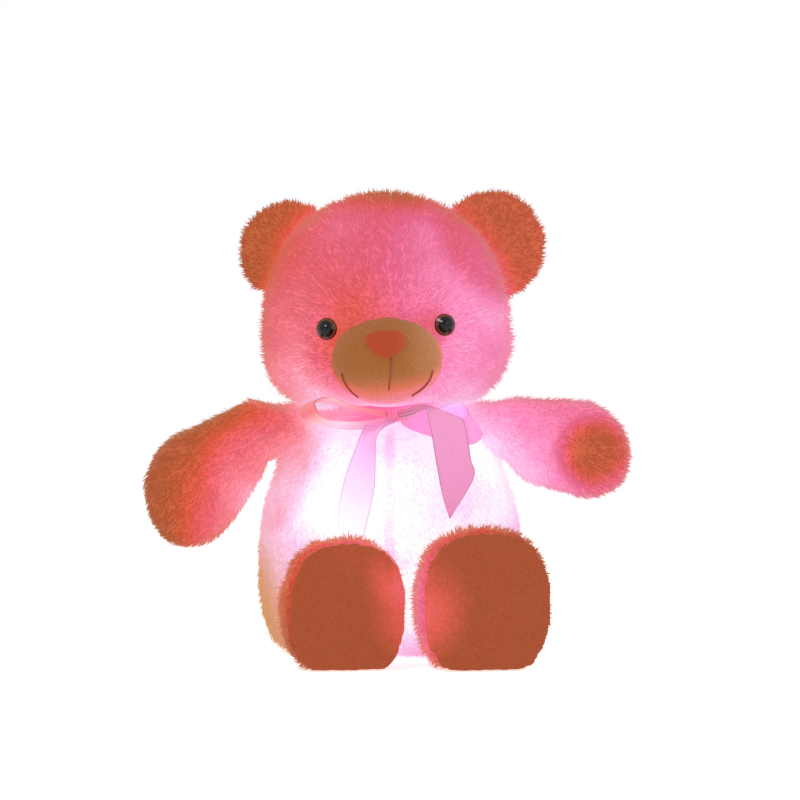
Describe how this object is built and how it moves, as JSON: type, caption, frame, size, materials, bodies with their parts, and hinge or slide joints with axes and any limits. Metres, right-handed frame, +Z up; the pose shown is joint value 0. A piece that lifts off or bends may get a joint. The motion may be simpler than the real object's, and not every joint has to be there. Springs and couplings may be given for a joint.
{
  "type": "plush night light",
  "caption": "Sitting plush bear lit from inside by LED beads, with a satin neck bow, big feet and a battery box behind a zip in its back.",
  "frame": {"origin": "centre of the flat patch of the body that rests on the table", "axes": "+Z up, -Y the way the bear faces, +X towards its own left side"},
  "size_m": [0.3345, 0.2347, 0.3245],
  "materials": {
    "plush": "long pile, lit from inside",
    "plush_sole": "short pile",
    "plush_muzzle": "short pile",
    "plush_nose": "short pile",
    "satin": "satin",
    "eye_plastic": "gloss",
    "washer_plastic": "matt",
    "zip_tape": "woven",
    "zip_metal": "plated",
    "pouch_cloth": "woven",
    "box_plastic": "matt",
    "knob_plastic": "matt",
    "cell_jacket": "satin",
    "contact_metal": "nickel",
    "board": "matt",
    "lead_jacket": "matt",
    "led_resin": "clear"
  },
  "bodies": {
    "torso": {"body": "plush", "tail": "plush", "neck_ribbon": "satin", "bow_knot": "satin", "bow_loop_left": "satin", "bow_loop_right": "satin", "bow_tail_left": "satin", "bow_tail_right": "satin", "zip_tape_left": "zip_tape", "zip_tape_right": "zip_tape", "zip_bottom_stop": "zip_metal", "battery_pouch": "pouch_cloth", "battery_case": "box_plastic", "switch_board": "board", "cell_left": "cell_jacket", "cell_middle": "cell_jacket", "cell_right": "cell_jacket", "contact_spring_left": "contact_metal", "contact_spring_middle": "contact_metal", "contact_spring_right": "contact_metal", "contact_upper_bridge": "contact_metal", "contact_upper_single": "contact_metal", "contact_lower_single": "contact_metal", "contact_lower_bridge": "contact_metal", "led_lead": "lead_jacket", "led_bead_1": "led_resin", "led_bead_2": "led_resin", "led_bead_3": "led_resin", "led_bead_4": "led_resin", "led_bead_5": "led_resin", "led_bead_6": "led_resin"},
    "head": {"head": "plush", "muzzle": "plush_muzzle", "nose": "plush_nose", "ear_left": "plush", "ear_right": "plush", "eye_left": "eye_plastic", "eye_right": "eye_plastic", "eye_washer_left": "washer_plastic", "eye_washer_right": "washer_plastic"},
    "arm_left": {"arm_left": "plush"},
    "arm_right": {"arm_right": "plush"},
    "leg_left": {"leg_left": "plush", "sole_left": "plush_sole"},
    "leg_right": {"leg_right": "plush", "sole_right": "plush_sole"},
    "slider": {"zip_slider": "zip_metal"},
    "pull": {"zip_pull": "zip_metal"},
    "lid": {"battery_lid": "box_plastic", "lid_screw": "contact_metal"},
    "knob": {"switch_knob": "knob_plastic"}
  },
  "joints": [
    {"name": "head_turn", "type": "hinge", "parent": "torso", "child": "head", "pos_m": [0, 0, 0.166], "axis": [0, 0, 1], "range_deg": [-7, 7], "stiffness_Nm_per_rad": 1.5},
    {"name": "shoulder_left", "type": "hinge", "parent": "torso", "child": "arm_left", "pos_m": [0.058, 0.002, 0.151], "axis": [-0.4067, -0.9135, 0], "range_deg": [-15, 20], "stiffness_Nm_per_rad": 2.5},
    {"name": "shoulder_right", "type": "hinge", "parent": "torso", "child": "arm_right", "pos_m": [-0.058, 0.002, 0.151], "axis": [-0.2079, 0.9781, 0], "range_deg": [-15, 20], "stiffness_Nm_per_rad": 2.5},
    {"name": "hip_left", "type": "hinge", "parent": "torso", "child": "leg_left", "pos_m": [0.045, -0.045, 0.04], "axis": [-0.9806, -0.1959, 0], "range_deg": [-15, 15], "stiffness_Nm_per_rad": 2.5},
    {"name": "hip_right", "type": "hinge", "parent": "torso", "child": "leg_right", "pos_m": [-0.045, -0.045, 0.04], "axis": [-0.9806, -0.1959, 0], "range_deg": [-15, 15], "stiffness_Nm_per_rad": 2.5},
    {"name": "zip_slide", "type": "slide", "parent": "torso", "child": "slider", "axis": [0, 0, -1], "range_m": [0, 0.067]},
    {"name": "zip_pull_swing", "type": "hinge", "parent": "slider", "child": "pull", "pos_m": [0, 0.07097, 0.1235], "axis": [1, 0, 0], "range_deg": [0, 170]},
    {"name": "lid_lift", "type": "slide", "parent": "torso", "child": "lid", "axis": [0, 1, 0], "range_m": [0, 0.008]},
    {"name": "switch_slide", "type": "slide", "parent": "torso", "child": "knob", "axis": [1, 0, 0], "range_m": [0, 0.003]}
  ]
}
